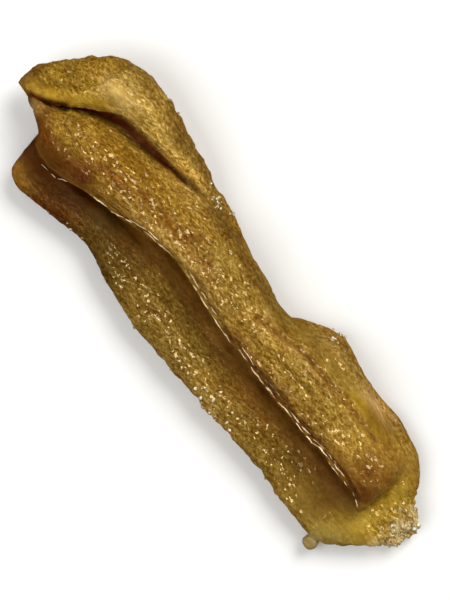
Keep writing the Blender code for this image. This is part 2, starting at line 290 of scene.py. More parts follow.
# The lamps: directions as right, up and above in the picture, sizes in millimetres and powers in watts.
LAMP_DISTANCE = 500.0
SOFT_LAMPS = (("key", (0.50, 0.55, 0.80), 300, 2.3), ("fill", (-0.6, -0.3, 1.0), 400, 1.7))
GLINT_LAMPS = ((0.62, 0.68, 1.0), (0.30, 0.05, 1.0), (-0.20, 0.45, 1.0))
GLINT_SIZE = 150.0
GLINT_WATTS = 1.6
WHITE = (1.0, 1.0, 1.0)
WARM_WHITE = (1.0, 0.80, 0.42)
SKY_STRENGTH = 0.20


def linear(colour):
    """A colour in 0 to 255 steps as linear light."""
    share = np.array(colour, float) / 255
    return np.where(share <= 0.04045, share / 12.92, ((share + 0.055) / 1.055) ** 2.4)


def smooth_step(low, high, value):
    """0 at low and before it, 1 at high and past it, and smooth in between. High may lie below low."""
    share = np.clip((value - low) / (high - low), 0, 1)
    return share * share * (3 - 2 * share)


def line_y(line, x):
    """The line's y at each x."""
    places = np.array(line, float)
    return np.interp(x, places[:, 0], places[:, 1])


def past(line, points):
    """How far each point lies past the line, towards the thick side."""
    return points[:, 1] - line_y(line, points[:, 0])


def shifted(line, step):
    """The line moved sideways by that step."""
    return [(x, y + step) for x, y in line]


def distance_to(line, points):
    """How far each point is from a line of (x, y) places, seen from above."""
    best = np.full(len(points), np.inf)
    places = np.array(line, float)
    for start, end in zip(places, places[1:]):
        step = end - start
        share = np.clip(((points[:, :2] - start) @ step) / (step @ step), 0, 1)
        gap = points[:, :2] - (start + share[:, None] * step)
        best = np.minimum(best, np.hypot(gap[:, 0], gap[:, 1]))
    return best


def bell(value, width):
    """1 where the value is 0, and fading to 0 about two widths from there."""
    return np.exp(-((value / width) ** 2))


def near(line, points, width):
    """1 on the line and fading to 0 about two widths from it."""
    return bell(distance_to(line, points), width)


def spot(points, centre, radii):
    """1 at the centre and fading to 0 about two radii from it, seen from above."""
    away = (points[:, :2] - np.array(centre)) / np.array(radii)
    return np.exp(-(away**2).sum(axis=1))


def around_bead(points, radius):
    """1 at the bead and fading to 0 about two radii from it, seen from above."""
    return spot(points, BEAD_PLACE[:2], (radius, radius))


def lumps(points, size, place):
    """Smooth noise of about -1 to 1, with lumps of that size, given once or for each axis."""
    scaled = points / np.array(size) + np.array(place)
    return np.array([noise.noise(p) for p in scaled.tolist()])


def along_ridge(points):
    """The points with y measured from the ridge's middle, so that noise over them flows along the slice."""
    return np.column_stack([points[:, 0], past(RIDGE_MIDDLE, points), points[:, 2]])


def evenly_skinned(node):
    """A new mesh: the node's shape and the small lumps on it, remade as one even skin of small faces."""
    shape = bmesh.new()
    shape.from_mesh(node.data)
    for place, radii in LUMPS:
        size = Matrix.Diagonal(Vector((*radii, 1 / MM)) * MM)
        there = Matrix.Translation(Vector(place) * MM) @ size
        bmesh.ops.create_icosphere(shape, subdivisions=3, radius=1.0, matrix=there)
    data = bpy.data.meshes.new("skin")
    shape.to_mesh(data)
    shape.free()
    item = bpy.data.objects.new("skin", data)
    bpy.context.scene.collection.objects.link(item)
    remesh = item.modifiers.new("even", "REMESH")
    remesh.mode = "VOXEL"
    remesh.voxel_size = SKIN_CELL * MM
    graph = bpy.context.evaluated_depsgraph_get()
    mesh = bpy.data.meshes.new_from_object(item.evaluated_get(graph))
    bpy.data.objects.remove(item)
    return mesh


def places_of(mesh):
    """The mesh's vertices in millimetres."""
    flat = np.empty(len(mesh.vertices) * 3, np.float32)
    mesh.vertices.foreach_get("co", flat)
    return flat.reshape(-1, 3).astype(float) / MM


def put_places(mesh, points):
    """Moves the mesh's vertices to these places, given in millimetres."""
    mesh.vertices.foreach_set("co", (points * MM).astype(np.float32).ravel())
    mesh.update()


def normals_of(mesh):
    """The direction that the surface faces at each vertex."""
    flat = np.empty(len(mesh.vertices) * 3, np.float32)
    mesh.vertex_normals.foreach_get("vector", flat)
    return flat.reshape(-1, 3).astype(float)


def edges_of(mesh):
    """The mesh's edges as pairs of vertex numbers."""
    flat = np.empty(len(mesh.edges) * 2, np.int32)
    mesh.edges.foreach_get("vertices", flat)
    return flat.reshape(-1, 2)


def averaged(values, edges, rounds, share):
    """Values at the vertices, each moved that share of the way to its neighbours' mean, round after round."""
    starts, ends = edges[:, 0], edges[:, 1]
    count = np.bincount(np.concatenate([starts, ends]), minlength=len(values))
    values = values.reshape(len(values), -1).copy()
    for _ in range(rounds):
        for axis in range(values.shape[1]):
            column = values[:, axis]
            total = np.bincount(starts, column[ends], len(column))
            total += np.bincount(ends, column[starts], len(column))
            values[:, axis] += (total / count - column) * share
    return values


def relaxed(points, edges):
    """The points with their facets smoothed out and next to no shrinking."""
    for _ in range(RELAX_ROUNDS):
        points = averaged(points, edges, 1, RELAX_SHARE)
        points = averaged(points, edges, 1, RELAX_BACK)
    return points


def zones(points):
    """Where each part of the slice lies: shares of 0 to 1 at each point."""
    x, y, z = points.T
    inside = past(FIBRE_LINE, points)
    flap = smooth_step(-0.3, 0.5, past(GAP_LINE, points)) * smooth_step(-11.0, -17.0, x)
    low_end = smooth_step(42.2, 44.0, x + 0.25 * np.abs(y + 3))
    ridge = smooth_step(-0.35, 0.15, inside) * smooth_step(4.8, 6.4, z) * (1 - flap) * (1 - low_end)
    return {
        "flap": flap,
        "low_end": low_end,
        "ridge": ridge,
        "shelf": smooth_step(0.35, -0.25, inside),
        "groove": bell(inside + 0.9, 1.3) * smooth_step(-47, -41, x) * (1 - low_end),
    }


def worn_end(points):
    """The worn upper edge of the ridge's cut end and the foot below it, from 0 to 1."""
    x, y, z = points.T
    along_it = smooth_step(-8.6, -7.0, y) * smooth_step(4.0, 1.0, y)
    return smooth_step(37.6, 39.6, x) * smooth_step(45.0, 43.4, x) * along_it * smooth_step(2.0, 3.0, z)


def ragged(points):
    """The far end's torn rim, from 0 to 1."""
    x, y, _ = points.T
    return smooth_step(45.2, 48.4, x - 0.12 * y) * smooth_step(-11.5, -8.5, y) * smooth_step(5.5, 2.5, y)


def blunt_flank(points):
    """The ridge's flank at its blunt end, from 0 to 1: brown, and painted shade where it faces away from the
    light.
    """
    x = points[:, 0]
    inside = past(FIBRE_LINE, points)
    side = smooth_step(5.6, 2.4, inside) * smooth_step(-0.6, 0.2, inside)
    return side * smooth_step(-29, -35, x) * smooth_step(-47.5, -45, x)


def crevice(points):
    """The thin crevice just inside the ridge's lip, from 0 to 1, which comes and goes along it; it is carved
    in and darkened with painted shade.
    """
    x, _, z = points.T
    along_it = np.column_stack([x, np.zeros((len(x), 2))])
    wander = 0.25 * lumps(along_it, 4.0, (6, 2, 8))
    strength = smooth_step(-0.45, 0.25, lumps(along_it, 6.0, (1, 8, 3)))
    strength *= 0.45 + 0.55 * smooth_step(-2, 4, x)
    strength = np.maximum(strength, 0.75 * smooth_step(16, 24, x))
    here = bell(past(FIBRE_LINE, points) - 0.75 - wander, 0.32) * (0.15 + 0.85 * strength)
    return here * smooth_step(-31, -27, x) * smooth_step(42, 40, x) * smooth_step(6, 8, z)


def in_gap(points):
    """Inside the gap between the ridge and the flap, from 0 to 1: wider on the flap's side in its middle."""
    x, _, z = points.T
    beside = past(GAP_LINE, points)
    under_flap = smooth_step(0.2, 0.5, beside) * smooth_step(-44, -40, x) * smooth_step(-22, -27, x)
    beside = np.abs(beside) / (1 + 1.2 * under_flap)
    top = 9.4 + 1.2 * under_flap
    along_it = smooth_step(-50, -47, x) * smooth_step(-17, -21, x) * smooth_step(4.5, 6.0, z)
    return smooth_step(0.8, 0.2, beside) * smooth_step(0.0, -1.2, z - top) * along_it


def thin_edges(points, normals, at):
    """The outer edges of the flap and the shelf, from 0 to 1."""
    _, outward, upward = normals.T
    upright = smooth_step(0.7, 0.3, np.abs(upward))
    flap_edge = at["flap"] * upright * smooth_step(0.0, 0.4, outward)
    shelf_edge = at["shelf"] * upright * smooth_step(0.0, -0.4, outward) * smooth_step(-6, 2, points[:, 0])
    return np.maximum(flap_edge, shelf_edge)


def form_heights(points, normals, at):
    """How far the larger forms raise each point: lumps, uneven edges, creases, folds and long wrinkles."""
    x = points[:, 0]
    facing_up = smooth_step(0.0, 0.5, normals[:, 2])
    flowing = along_ridge(points)
    height = 0.30 * lumps(flowing, (11, 2.3, 2.3), (4, 8, 1))
    height += 0.20 * lumps(points, 3.4, (31, 2, 12))
    height += 0.16 * lumps(flowing, (6.0, 1.1, 1.1), (14, 3, 21)) * (1 - 0.7 * at["shelf"])
    height -= 0.75 * near(FLAP_CREASE, points, 0.75) * facing_up * at["flap"]
    height -= 1.2 * near(GAP_TAIL, points, 0.38) * facing_up * smooth_step(-13.5, -20, x)
    height -= 1.2 * near(GAP_HEAD, points, 0.5) * facing_up
    height += 0.45 * thin_edges(points, normals, at) * lumps(points, 1.7, (6, 6, 2))
    height -= 0.9 * spot(points, *SHELF_DIP) * facing_up * at["shelf"]
    height += 0.55 * spot(points, *CREST_SWELL) * facing_up
    height -= 0.42 * near(SIDE_WRINKLE, points, 0.45) * facing_up
    height += 0.22 * near(shifted(SIDE_WRINKLE, -1.1), points, 0.7) * facing_up
    height -= crevice(points) * smooth_step(0.1, 0.5, normals[:, 2]) * 0.7
    lined = smooth_step(2, 7, x) * smooth_step(36, 26, x) * at["ridge"] * facing_up
    height += 0.28 * lined * lumps(flowing, (12.0, 0.9, 2.0), (8, 2, 2))
    return height * (1 - 0.95 * around_bead(points, 1.9))


def formed(points, normals):
    """The points with the larger forms added above the flat underside, and small parts moved into place."""
    x, y, z = points.T
    at = zones(points)
    raised = form_heights(points, normals, at) * smooth_step(0.05, 1.2, z)
    moved = points + normals * raised[:, None]
    band = smooth_step(3.6, 0.8, past(GAP_LINE, points)) * at["flap"] * smooth_step(-51, -47, x)
    band *= smooth_step(-30, -40, x)
    for axis, step in BAND_STEPS:
        moved[:, axis] -= step * band * smooth_step(5.5, 7.0, z)
    moved[:, 0] += 1.3 * smooth_step(-41, -46, x) * smooth_step(-2.0, -4.5, y)
    moved[:, :2] -= spot(points, *RIM_NOTCH)[:, None] * np.array(NOTCH_STEP)
    corner = spot(points, *CUT_CORNER) * smooth_step(4.8, 6.5, z)
    moved[:, :2] += corner[:, None] * np.array(CORNER_STEP)
    return moved


def graininess(points):
    """How grainy the surface is at each point, from 0 where it is smooth to 1."""
    x = points[:, 0]
    at = zones(points)
    smooth = 0.8 * at["flap"] * smooth_step(3.4, 1.6, past(GAP_LINE, points)) * smooth_step(-36, -40, x)
    smooth += 1.0 * spot(points, *CREST_SMOOTH)
    smooth += 0.6 * at["groove"] + 0.7 * smooth_step(-36, -41, x) * at["shelf"]
    smooth += 0.6 * near(shifted(SIDE_WRINKLE, 2.6), points, 1.6)
    smooth += 1.1 * spot(points, *TROUGH_SMOOTH) + 0.3 * spot(points, *CUT_SMOOTH)
    smooth += 0.4 * at["ridge"] * smooth_step(27, 34, x)
    smooth += 0.9 * around_bead(points, 1.5) + 0.5 * spot(points, *SIDE_SMOOTH)
    smooth += 0.5 * at["shelf"] * smooth_step(-5.0, -2.5, past(FIBRE_LINE, points))
    smooth += 0.62 * at["low_end"] * (1 - ragged(points)) + 0.5 * blunt_flank(points) + in_gap(points)
    return 1 - np.clip(smooth, 0, 0.9)


def glinting(points):
    """How much the surface glints at each point: most on the shelf's outer band and the ragged rim."""
    x = points[:, 0]
    at = zones(points)
    outer = smooth_step(-4.5, -7.0, past(FIBRE_LINE, points)) * at["shelf"]
    shine = 0.58 + 0.2 * outer + 0.4 * at["low_end"] + 0.30 * lumps(points, (3.4, 1.6, 1.6), (3, 7, 1))
    shine -= 0.4 * blunt_flank(points) + 0.5 * at["groove"] + 0.3 * at["flap"]
    shine += 0.3 * spot(points, *SIDE_GLINT) - 0.6 * at["shelf"] * smooth_step(-14, -24, x)
    return np.clip(shine, 0, 1) * smooth_step(0.05, 0.6, graininess(points))


def grained(points, normals):
    """The points with the fine relief added, and how far each stands out: 0 in creases and 1 on grains."""
    flowing = along_ridge(points)
    fibre = lumps(flowing, (3.4, 0.62, 0.62), (7, 1, 3))
    strand = lumps(flowing, (1.5, 0.48, 0.48), (5, 9, 2))
    rough = lumps(points, 0.72, (2, 6, 19))
    patch = smooth_step(-0.35, 0.35, lumps(points, 7.0, (12, 40, 3)))
    rim = ragged(points)
    depth = (0.18 + 0.08 * patch) * graininess(points) + 0.45 * rim
    depth *= 1 - 0.9 * around_bead(points, 1.8)
    height = 0.5 + 0.42 * fibre + 0.40 * strand + 0.50 * rough
    height += 1.1 * rim * lumps(points, 1.9, (8, 3, 6))
    moved = points + normals * ((height - 0.5) * depth)[:, None]
    return moved, np.clip(height, 0, 1)


def tree_of(mesh, points):
    """The mesh's faces, with their corners at these points, ready for ray casts."""
    return BVHTree.FromPolygons(points.tolist(), [tuple(polygon.vertices) for polygon in mesh.polygons])


def thickness(mesh, points, normals):
    """How much flesh lies behind each vertex, in millimetres, as far as the search reaches."""
    tree = tree_of(mesh, points)
    inward = -normals
    starts = points + inward * INWARD_START
    found = []
    for start, direction in zip(starts.tolist(), inward.tolist()):
        distance = tree.ray_cast(start, direction, INWARD_REACH)[3]
        found.append(INWARD_REACH if distance is None else distance)
    return np.array(found)


def shelf_layers(points, at, inside):
    """The shelf's colours, each with its share at each point: its own tones, painted shade from the ridge
    over it and in the groove, and a painted light that lifts the groove's shade in one place.
    """
    x = points[:, 0]
    shelf = at["shelf"]
    outer = smooth_step(-6.0, -7.6, inside) * smooth_step(-20, -10, x)
    foot = bell(inside + 0.7, 0.45) * smooth_step(-8, -2, x) * smooth_step(43, 40, x)
    return [
        (OLIVE, shelf),
        (OLIVE_PALE, shelf * outer * 0.45),
        # Painted shadow of the ridge over the shelf towards the blunt end.
        (SHELF_PAINTED_SHADOW, shelf * smooth_step(-8, -20, x) * 0.85),
        (SHADE_RED, shelf * smooth_step(-22, -32, x) * 0.9),
        (LOBE_GOLD, shelf * smooth_step(-34, -40, x) * smooth_step(-2.0, -3.6, inside) * 0.8),
        (OLIVE_PALE, spot(points, *SHELF_PALE) * 0.7),
        (TAN, spot(points, *SHELF_TAN) * 0.55),
        (TROUGH, spot(points, *SHELF_TROUGH) * 0.9),
        # A redder brown along the groove: the flesh's own red-brown and painted shade under the lip.
        (GROOVE_BROWN_AND_SHADE, smooth_step(-5.0, -2.0, inside) * shelf * smooth_step(-26, -18, x) * 0.75),
        # Painted light that lifts the groove's shade here.
        (GROOVE_LIT, spot(points, *GROOVE_PAINTED_LIGHT) * 0.6),
        # Painted shade deep in the groove towards the blunt end.
        (GROOVE_PAINTED_SHADE, smooth_step(-5.2, -3.4, inside) * shelf * smooth_step(-25, -31, x) * 0.8),
        # Painted shadow under the lip towards the low end.
        (END_BROWN_AND_SHADE, smooth_step(-4.0, -1.0, inside) * shelf * smooth_step(28, 38, x) * 0.6),
        # Painted shadow in a thin line right under the lip.
        (CREVICE_PAINTED_SHADE, foot * 0.4),
    ]


def ridge_layers(points, at, inside, mottle):
    """The ridge's colours, each with its share at each point: its own tones, and painted shade along its far
    side, near the lip, on the blunt end's flank and in the crevice.
    """
    x, y, _ = points.T
    ridge = at["ridge"]
    past_far = past(FAR_EDGE, points)
    far_side = smooth_step(-2.6, -0.4, past_far) * smooth_step(-16, -11, x) * smooth_step(12, 7, x)
    pale_side = smooth_step(0.5, 1.4, inside) * smooth_step(4.5, 2.5, inside) * smooth_step(-30, -27, x)
    speckled = smooth_step(1.9, 0.4, inside) * smooth_step(-2, 5, x)
    specks = 0.25 + 0.9 * lumps(points, (1.6, 0.7, 0.7), (2, 2, 5))
    return [
        (GOLD, ridge),
        (GOLD_LOW, ridge * smooth_step(24, 34, x)),
        (UPPER_BROWN, ridge * smooth_step(-9, -17, x) * smooth_step(6.8, 4.8, y) * 0.9),
        (GOLD_UPPER, ridge * smooth_step(-30, -36, x)),
        (TAN, near(FAR_EDGE, points, 1.3) * ridge * smooth_step(-13, -17, x) * 0.7),
        (RED_BROWN, near(RED_STREAK, points, 1.3) * ridge * mottle * 1.1),
        # Painted shade along the ridge's far side, in an olive tone.
        (FAR_SIDE_PAINTED_SHADE, ridge * far_side * 0.85),
        (BAND_GREEN, near(shifted(SIDE_WRINKLE, 2.8), points, 2.0) * 0.75),
        (TAN, spot(points, *SIDE_BUMP) * 0.5 + spot(points, *RIDGE_TAN) * 0.35),
        (TAN, near(PALE_WRINKLE, points, 0.5) * 0.7),
        (RED_BROWN, near(SIDE_WRINKLE, points, 0.5) * 0.6),
        (PALE_PINK, spot(points, *SIDE_PINK) * 0.8),
        (CLEAR_YELLOW, spot(points, *SIDE_CLEAR) * 0.8 + spot(points, *SIDE_CLEAR_LOW) * 0.7),
        (TAN, pale_side * smooth_step(3, -1, x) * ridge * 0.4),
        # Painted shade on the ridge where it rolls over towards the lip, mottled.
        (LIP_PAINTED_SHADE, smooth_step(3.8, 1.0, inside) * smooth_step(1, 6, x) * ridge * (0.45 + 0.5 * mottle)),
        # The blunt end's flank: its own brown and painted shade where it faces away from the light, darkest
        # here.
        (END_BROWN_AND_SHADE, blunt_flank(points)),
        (FLANK_BROWN_AND_SHADE, spot(points, *FLANK_DARK) * ridge * 1.1),
        (TAN, spot(points, *BLUNT_TIP) * 0.8),
        (END_BROWN_AND_SHADE, speckled * ridge * specks),
        # Painted shade in the thin crevice just inside the lip.
        (CREVICE_PAINTED_SHADE, crevice(points) * 0.95),
    ]


def flap_layers(points, at, wander):
    """The flap's colours with its painted highlight, light and shade, and the gap's painted shade, each with
    its share at each point.
    """
    x, y, z = points.T
    flap = at["flap"]
    above_gap = past(GAP_LINE, points)
    past_crease = smooth_step(-0.6, 0.8, x + 42.0 + 0.25 * (8 - y))
    outer = smooth_step(13.6, 15.4, y + 0.16 * np.abs(x + 38))
    inner = smooth_step(3.6, 1.6, above_gap) * smooth_step(0.3, 0.9, above_gap) * smooth_step(-16, -22, x)
    shaded = flap * smooth_step(1.7, 0.7, above_gap) * smooth_step(-43, -38, x) * smooth_step(-24, -30, x)
    return [
        (LEAF, flap),
        (CREAM, flap * past_crease * (0.8 + 0.5 * wander)),
        (EDGE_BROWN, flap * outer * 0.75),
        # Painted light on the flap's inner side, which faces away from the lamps.
        (BAND_LIT, flap * inner * smooth_step(-38, -33, x) * 0.8),
        (BAND_YELLOW, flap * smooth_step(3.4, 1.4, above_gap) * smooth_step(-35, -39, x)),
        # Painted highlight on the flap's crest.
        (CREST_PAINTED_HIGHLIGHT, spot(points, *CREST_LIGHT) * flap * 1.15),
        (LEAF_EDGE, flap * smooth_step(-49.0, -51.6, x) * 0.7),
        (BAND_SHADE, shaded * 0.8),
        # Painted shade in the gap's carved tail and head.
        (CREVICE_PAINTED_SHADE, near(GAP_TAIL, points, 0.32) * smooth_step(-14, -20, x) * 0.9),
        (CREVICE_PAINTED_SHADE, near(GAP_HEAD, points, 0.6) * smooth_step(6.4, 7.2, z)),
        # Painted shade in the gap between the ridge and the flap, dark red.
        (GAP_PAINTED_SHADE, in_gap(points)),
    ]


def end_layers(points, at, mottle):
    """The low end's colours, each with its share at each point, with painted light on the rim and beside the
    cut.
    """
    x, y, _ = points.T
    rim = smooth_step(39.0, 46.0, x + 0.25 * np.abs(y + 3)) * (1 - at["ridge"])
    outside = smooth_step(47.5, 50.5, x + 0.10 * np.abs(y + 3))
    return [
        (RIM_GREEN, rim),
        (RIM_BROWN, rim * smooth_step(0.0, 6.0, y) * 0.8),
        (RIM_OLIVE, rim * smooth_step(-10.0, -14.5, y) * 0.8),
        (RIM_PALE, outside * smooth_step(4, -2, y) * (0.2 + 0.5 * mottle)),
        # Painted light on the rim just below the cut end, where the ridge shades it.
        (RIM_LIT, spot(points, *RIM_LIGHT) * (1 - at["ridge"]) * 0.9),
        (RIM_GREY, spot(points, *RIM_CLEAR) * (0.35 + 0.7 * mottle)),
        # Painted light on the slope beside the cut, which lifts its shade.
        (GOLD_LOW, spot(points, *CUT_PAINTED_LIGHT) * 0.7),
        (RED_BROWN, spot(points, *CUT_TOP) * (0.4 + 0.5 * mottle)),
        (RED_BROWN, spot(points, *CUT_SIDE) * 0.6),
        (RED_BROWN, spot(points, *ABOVE_CUT) * 0.6),
        (CUT_BROWN, spot(points, *CUT_FACE) * (0.55 + 0.5 * mottle)),
        (BEAD_GREY, around_bead(points, 1.25) * 1.3),
    ]


def tinted(points, depth):
    """The flesh's broad colour at each point, as linear light: layers of colour, one over another, some of
    them painted light and shade, and a painted glow where the flesh is thin.
    """
    at = zones(points)
    inside = past(FIBRE_LINE, points)
    wander = lumps(points, 5.0, (9, 9, 9))
    mottle = 0.5 + 0.9 * lumps(points, (2.6, 1.1, 1.1), (2, 2, 5))
    layers = shelf_layers(points, at, inside) + ridge_layers(points, at, inside, mottle)
    layers += flap_layers(points, at, wander) + end_layers(points, at, mottle)
    tone = np.tile(linear(UNDERSIDE), (len(points), 1))
    for colour, share in layers:
        tone += (linear(colour) - tone) * np.clip(share, 0, 1)[:, None]
    # A painted glow where the flesh is thin.
    thin = smooth_step(*THIN_FLESH, depth)[:, None]
    return tone * (1 + THIN_GLOW * thin * np.array(THIN_COLOUR)) * (1 + TINT_WANDER * wander[:, None])


def keep_value(mesh, name, values):
    """Stores one number for each vertex under that name."""
    attribute = mesh.attributes.new(name, "FLOAT", "POINT")
    attribute.data.foreach_set("value", values.astype(np.float32))


def keep_colour(mesh, name, values):
    """Stores one colour for each vertex under that name."""
    attribute = mesh.attributes.new(name, "FLOAT_COLOR", "POINT")
    rgba = np.column_stack([values, np.ones(len(values))])
    attribute.data.foreach_set("color", rgba.astype(np.float32).ravel())


def slice_mesh():
    """The dried slice's mesh, with its relief and the values that its material reads."""
    mesh = evenly_skinned(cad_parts["banana_slice"])
    edges = edges_of(mesh)
    points = relaxed(places_of(mesh), edges)
    points += (averaged(points, edges, WORN_ROUNDS, HALFWAY) - points) * worn_end(points)[:, None]
    put_places(mesh, points)
    put_places(mesh, formed(places_of(mesh), normals_of(mesh)))
    moved, grain = grained(places_of(mesh), normals_of(mesh))
    moved[:, 2] = np.maximum(moved[:, 2], 0.0)
    put_places(mesh, moved)
    points, normals = places_of(mesh), normals_of(mesh)
    depth = thickness(mesh, points, averaged(normals, edges, INWARD_ROUNDS, HALFWAY))
    depth = averaged(depth, edges, THICKNESS_ROUNDS, HALFWAY)[:, 0]
    keep_colour(mesh, "tint", tinted(points, depth))
    keep_value(mesh, "grain", grain)
    keep_value(mesh, "grainy", graininess(points))
    keep_value(mesh, "glinting", glinting(points))
    return mesh


def lip_of(points, start, end):
    """The ridge's thin overhanging lip from x start to x end: its outermost point at each step."""
    found = []
    for x in np.arange(start, end, FIBRE_STEP):
        here = points[(np.abs(points[:, 0] - x) < FIBRE_STEP) & (points[:, 2] > LIP_LOWEST)]
        found.append(here[here[:, 1].argmin()])
    for _ in range(LIP_ROUNDS):
        found[1:-1] = [(a + b * 2 + c) / 4 for a, b, c in zip(found, found[1:], found[2:])]
    return np.array(found)


def laid_on(tree, path):
    """The path's points lifted onto the surface where it stands higher."""
    laid = path.copy()
    for point in laid:
        point[2] = max(point[2], tree.ray_cast((point[0], point[1], ABOVE_ALL), (0, 0, -1))[0].z)
    return laid


def add_tube(mesh, path, radii):
    """A closed tube along the path, with a radius for each of its points."""
    rings = []
    turns = [2 * math.pi * k / FIBRE_SIDES for k in range(FIBRE_SIDES)]
    for middle, radius in zip(path, radii):
        ring = [middle + radius * np.array((0, math.cos(t), math.sin(t))) for t in turns]
        rings.append([mesh.verts.new(p * MM) for p in ring])
    for ring, following in zip(rings, rings[1:]):
        for k in range(FIBRE_SIDES):
            mesh.faces.new((ring[k - 1], ring[k], following[k], following[k - 1]))
    mesh.faces.new(rings[0])
    mesh.faces.new(reversed(rings[-1]))


def add_dashes(mesh, path, radius, chance):
    """Short tapered fibres one after another along the path, each a little beside it."""
    first = 0
    while first <= len(path) - FIBRE_POINTS:
        count = max(FIBRE_POINTS, round(chance.uniform(*FIBRE_DASHES) / FIBRE_STEP))
        piece = path[first:first + count].copy()
        first += count + round(chance.uniform(*FIBRE_GAPS) / FIBRE_STEP)
        share = np.linspace(0, 1, len(piece))
        beside = chance.uniform(-FIBRE_BESIDE, FIBRE_BESIDE)
        piece[:, 1] += beside + chance.uniform(-FIBRE_SLANT, FIBRE_SLANT) * share
        piece[:, 2] += chance.uniform(*FIBRE_LIFT)
        piece += FIBRE_WANDER * np.column_stack([lumps(piece, FIBRE_BEND, (k * 7, 2, 5)) for k in range(3)])
        ends = np.sin(math.pi * np.clip(share, 0.04, 0.96)) ** 0.5
        wobble = 1.0 + 0.5 * lumps(piece, FIBRE_BEND, (1, 6, 4))
        add_tube(mesh, piece, radius * chance.uniform(*FIBRE_WIDTHS) * wobble * ends)


def fibre_tints(points):
    """The fibres' colour at each point: pale pink, lightest where a highlight is painted on, and browner
    between.
    """
    x = points[:, 0]
    bright = smooth_step(-10, -14, x) + smooth_step(-4, 2, x)
    bright = np.clip(0.5 + bright * (0.6 + 0.9 * lumps(points, (1.6, 4, 4), (3, 3, 3))), 0, 1)
    return linear(TAN) + (linear(FIBRE_PINK) - linear(TAN)) * bright[:, None]


def fibre_mesh(skin):
    """Thin broken fibres that run along the ridge's lip and at its foot."""
    points = places_of(skin)
    tree = tree_of(skin, points)
    chance = np.random.default_rng(FIBRE_SEED)
    mesh = bmesh.new()
    for start, end, inside, thick in FIBRE_STRANDS:
        path = lip_of(points, start, end)
        path[:, 1] += inside + 0.12 * lumps(path, 3.0, (3 + inside * 9, 1, 2))
        add_dashes(mesh, laid_on(tree, path), FIBRE_RADIUS * thick, chance)
    x = np.arange(FOOT_LINE[0][0], FOOT_LINE[-1][0], FIBRE_STEP)
    foot = laid_on(tree, np.column_stack([x, line_y(FOOT_LINE, x), np.zeros(len(x))]))
    add_dashes(mesh, foot, FIBRE_RADIUS * FOOT_THICKNESS, chance)
    bmesh.ops.recalc_face_normals(mesh, faces=mesh.faces)
    data = bpy.data.meshes.new("lip_fibres")
    mesh.to_mesh(data)
    mesh.free()
    keep_colour(data, "tint", fibre_tints(places_of(data)))
    return data


def crumb_places(points, normals, chance):
    """The numbers of the vertices that carry a crumb: on the ragged rim and along the thin outer edges."""
    x, y, z = points.T
    _, outward, upward = normals.T
    at = zones(points)
    sideways = smooth_step(0.92, 0.45, np.abs(upward)) * smooth_step(1.0, 2.2, z)
    rim = smooth_step(49.6, 51.0, x + 0.06 * np.abs(y + 4)) * smooth_step(-11.5, -9.0, y)
    rim *= smooth_step(4.0, 0.0, y)
    rim *= 0.12 + 0.7 * sideways
    shelf_edge = at["shelf"] * sideways * smooth_step(0.0, -0.3, outward) * smooth_step(-34, -30, x) * 0.05
    flap_edge = at["flap"] * smooth_step(0.35, 0.15, np.abs(upward)) * smooth_step(0.0, 0.3, outward)
    flap_edge *= smooth_step(-44, -40, x) * 0.10
    side_lip = smooth_step(8.0, 10.0, y) * sideways * smooth_step(10, 13, x) * smooth_step(24, 20, x) * 0.25
    rough = np.maximum.reduce([spot(points, *place) for place in ROUGH_SPOTS])
    rough *= smooth_step(0.0, 0.4, upward) * 0.6
    likely = rim + shelf_edge + flap_edge + side_lip + rough
    return np.flatnonzero(chance.random(len(points)) < likely * CRUMB_SHARE)


def crumb_mesh(skin):
    """Small rounded crystals and crumbs, sunk partly into the slice's ragged rim and edges."""
    points, normals = places_of(skin), normals_of(skin)
    torn = ragged(points)
    chance = np.random.default_rng(CRUMB_SEED)
    mesh = bmesh.new()
    for number in crumb_places(points, normals, chance):
        radius = chance.uniform(*CRUMB_RADII) * (1 + CRUMB_GROWTH * torn[number])
        middle = points[number] + normals[number] * radius * chance.uniform(*CRUMB_RISE)
        turn = Quaternion(chance.normal(size=4)).normalized().to_matrix().to_4x4()
        shape = Matrix.Diagonal((*(chance.uniform(*CRUMB_STRETCH, 3) * radius * MM), 1.0))
        there = Matrix.Translation(Vector(middle) * MM) @ turn @ shape
        made = bmesh.ops.create_icosphere(mesh, subdivisions=2, radius=1.0, matrix=there)
        for vertex in made["verts"]:
            vertex.co += Vector(chance.uniform(-CRUMB_DENT, CRUMB_DENT, 3) * radius * MM)
    data = bpy.data.meshes.new("edge_crumbs")
    mesh.to_mesh(data)
    mesh.free()
    return data


